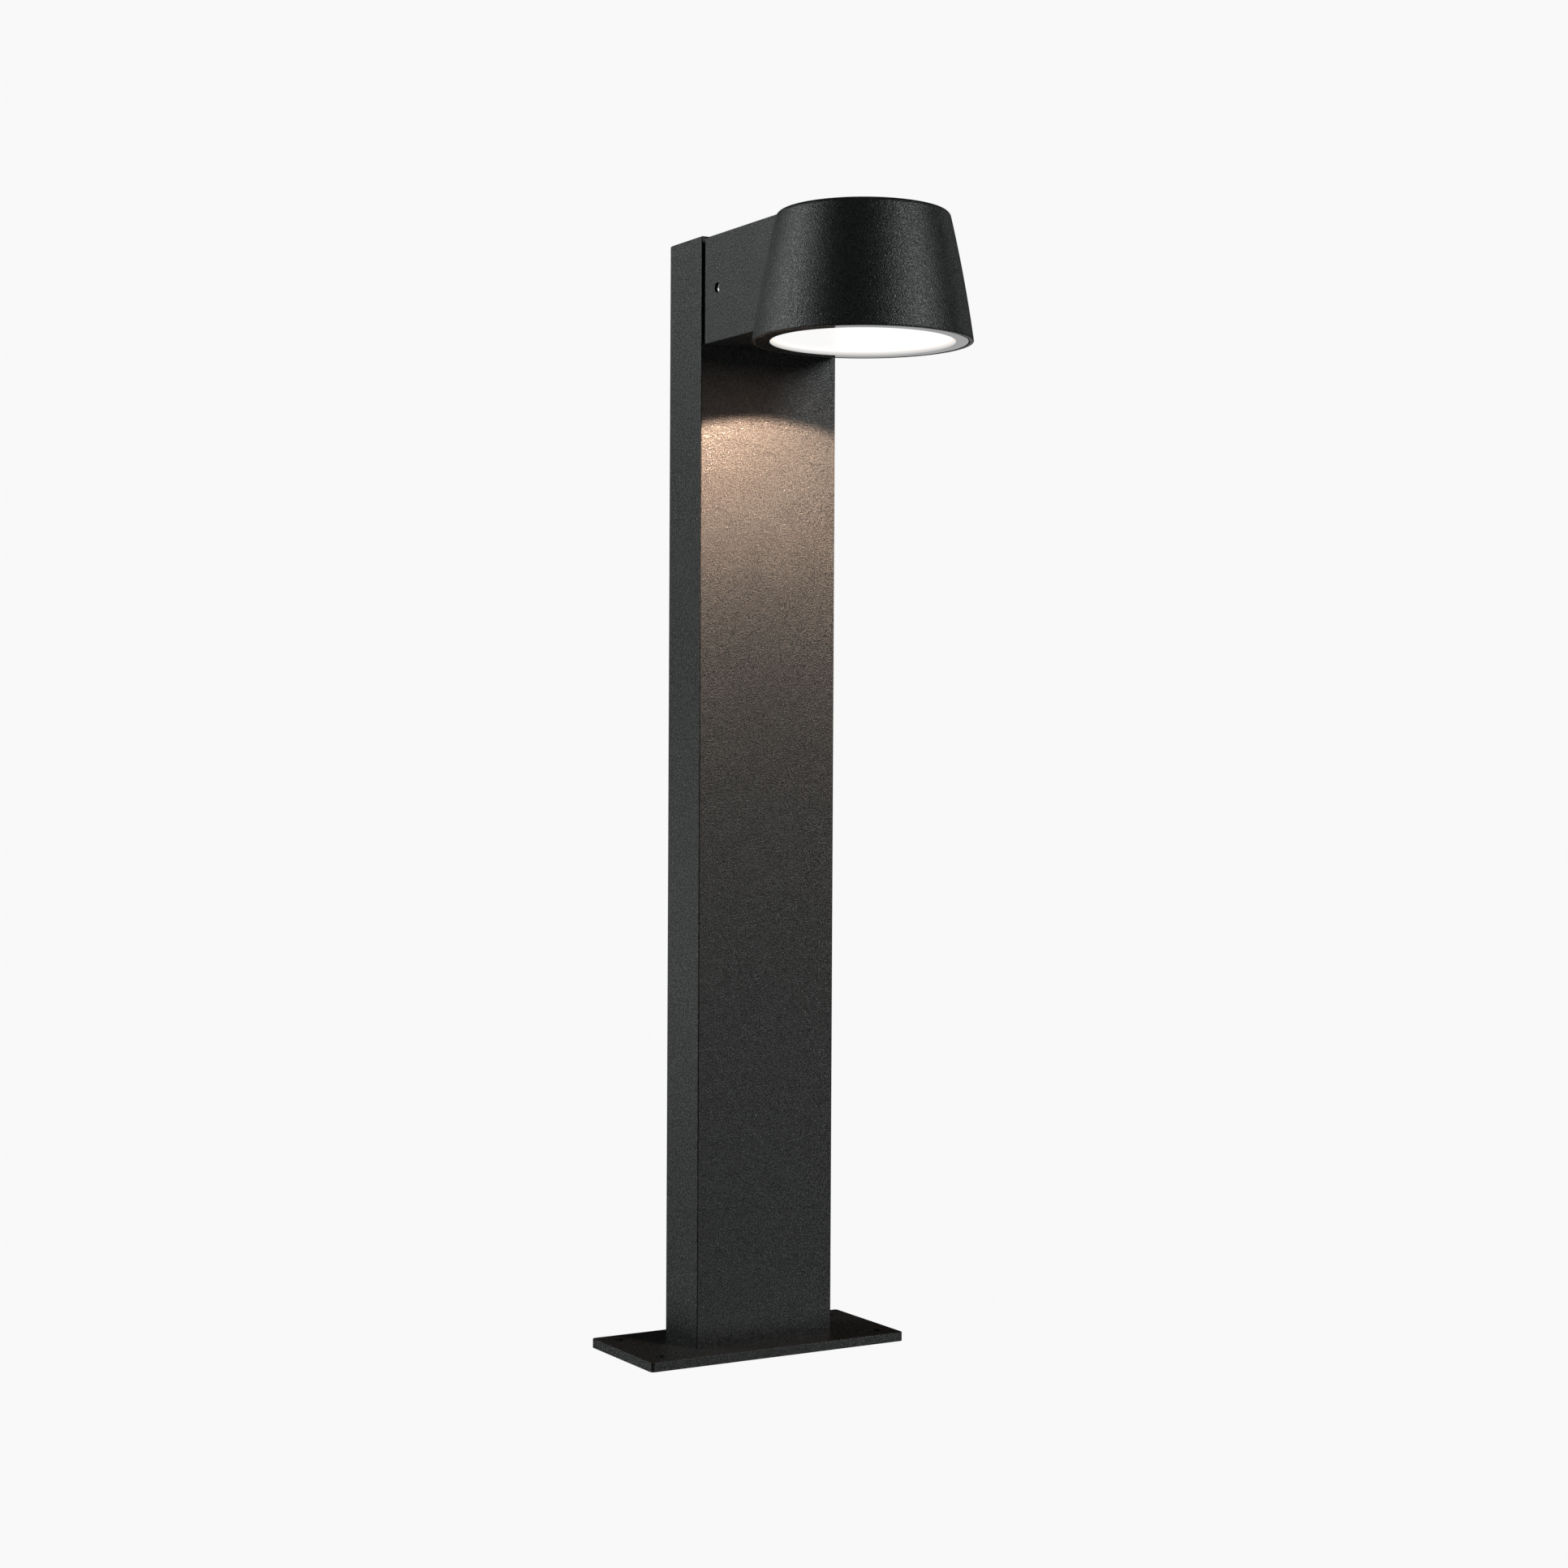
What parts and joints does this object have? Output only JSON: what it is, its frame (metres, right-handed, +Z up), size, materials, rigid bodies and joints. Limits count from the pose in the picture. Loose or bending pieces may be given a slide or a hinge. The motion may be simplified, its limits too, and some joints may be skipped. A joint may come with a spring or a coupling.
{
  "type": "bollard light",
  "caption": "Low path light: a rectangular coated post on a bolt-down plate, with a box arm and a round flared downlight head with a flat opal cover.",
  "frame": {"origin": "centre of the ground fixing pattern on the base plate's underside", "axes": "+Z up the post, X across the post's wide faces, the arm and head reach out along -Y"},
  "size_m": [0.157, 0.2037, 0.6],
  "materials": {
    "anthracite_coat": "fine-textured anthracite powder coat",
    "coated_steel": "fine-textured anthracite powder coat",
    "stainless_steel": "plain stainless steel",
    "zinc_plated_steel": "bright zinc plating",
    "black_rubber": "matte",
    "foam_rubber": "matte foam",
    "bare_aluminium": "rolled sheet",
    "grey_silicone": "matte",
    "white_board": "satin solder mask",
    "phosphor": "matte",
    "white_plastic": "matte",
    "opal_cover": "smooth opal plastic with a black border",
    "driver_plastic": "satin",
    "terminal_plastic": "satin",
    "brass_insert": "satin",
    "tinned_brass": "satin tin",
    "brown_insulation": "satin",
    "blue_insulation": "satin",
    "green_yellow_insulation": "satin",
    "red_insulation": "satin",
    "black_insulation": "satin"
  },
  "bodies": {
    "post_assembly": {"base_plate": "coated_steel", "base_screws": "stainless_steel", "base_grommet": "black_rubber", "post": "anthracite_coat", "post_cap": "anthracite_coat", "mounting_bracket": "zinc_plated_steel", "rivet_nuts": "zinc_plated_steel", "bracket_screws": "zinc_plated_steel", "post_grommet": "black_rubber", "rear_gasket": "foam_rubber"},
    "lamp_unit": {"lamp_housing": "anthracite_coat", "carrier_plate": "bare_aluminium", "carrier_screws": "zinc_plated_steel", "thermal_pad": "grey_silicone", "led_board": "white_board", "board_screws": "zinc_plated_steel", "led_chips": "phosphor", "reflector": "white_plastic", "front_cover": "opal_cover", "cover_seal": "black_rubber", "led_driver": "driver_plastic", "driver_pad": "grey_silicone", "lead_grommet": "black_rubber", "terminal_block": "terminal_plastic", "terminal_inserts": "brass_insert", "terminal_screws": "zinc_plated_steel", "terminal_fixing_screws": "zinc_plated_steel", "earth_tag": "tinned_brass", "earth_screw": "zinc_plated_steel", "live_lead": "brown_insulation", "neutral_lead": "blue_insulation", "earth_lead": "green_yellow_insulation", "led_positive_lead": "red_insulation", "led_negative_lead": "black_insulation"},
    "left_set_screw": {"left_set_screw": "stainless_steel"},
    "right_set_screw": {"right_set_screw": "stainless_steel"}
  },
  "joints": [
    {"name": "lamp_removal", "type": "slide", "parent": "post_assembly", "child": "lamp_unit", "axis": [0, -1, 0], "range_m": [0, 0.05]},
    {"name": "left_set_screw_travel", "type": "slide", "parent": "lamp_unit", "child": "left_set_screw", "axis": [-1, 0, 0], "range_m": [0, 0.005]},
    {"name": "right_set_screw_travel", "type": "slide", "parent": "lamp_unit", "child": "right_set_screw", "axis": [1, 0, 0], "range_m": [0, 0.005]}
  ]
}
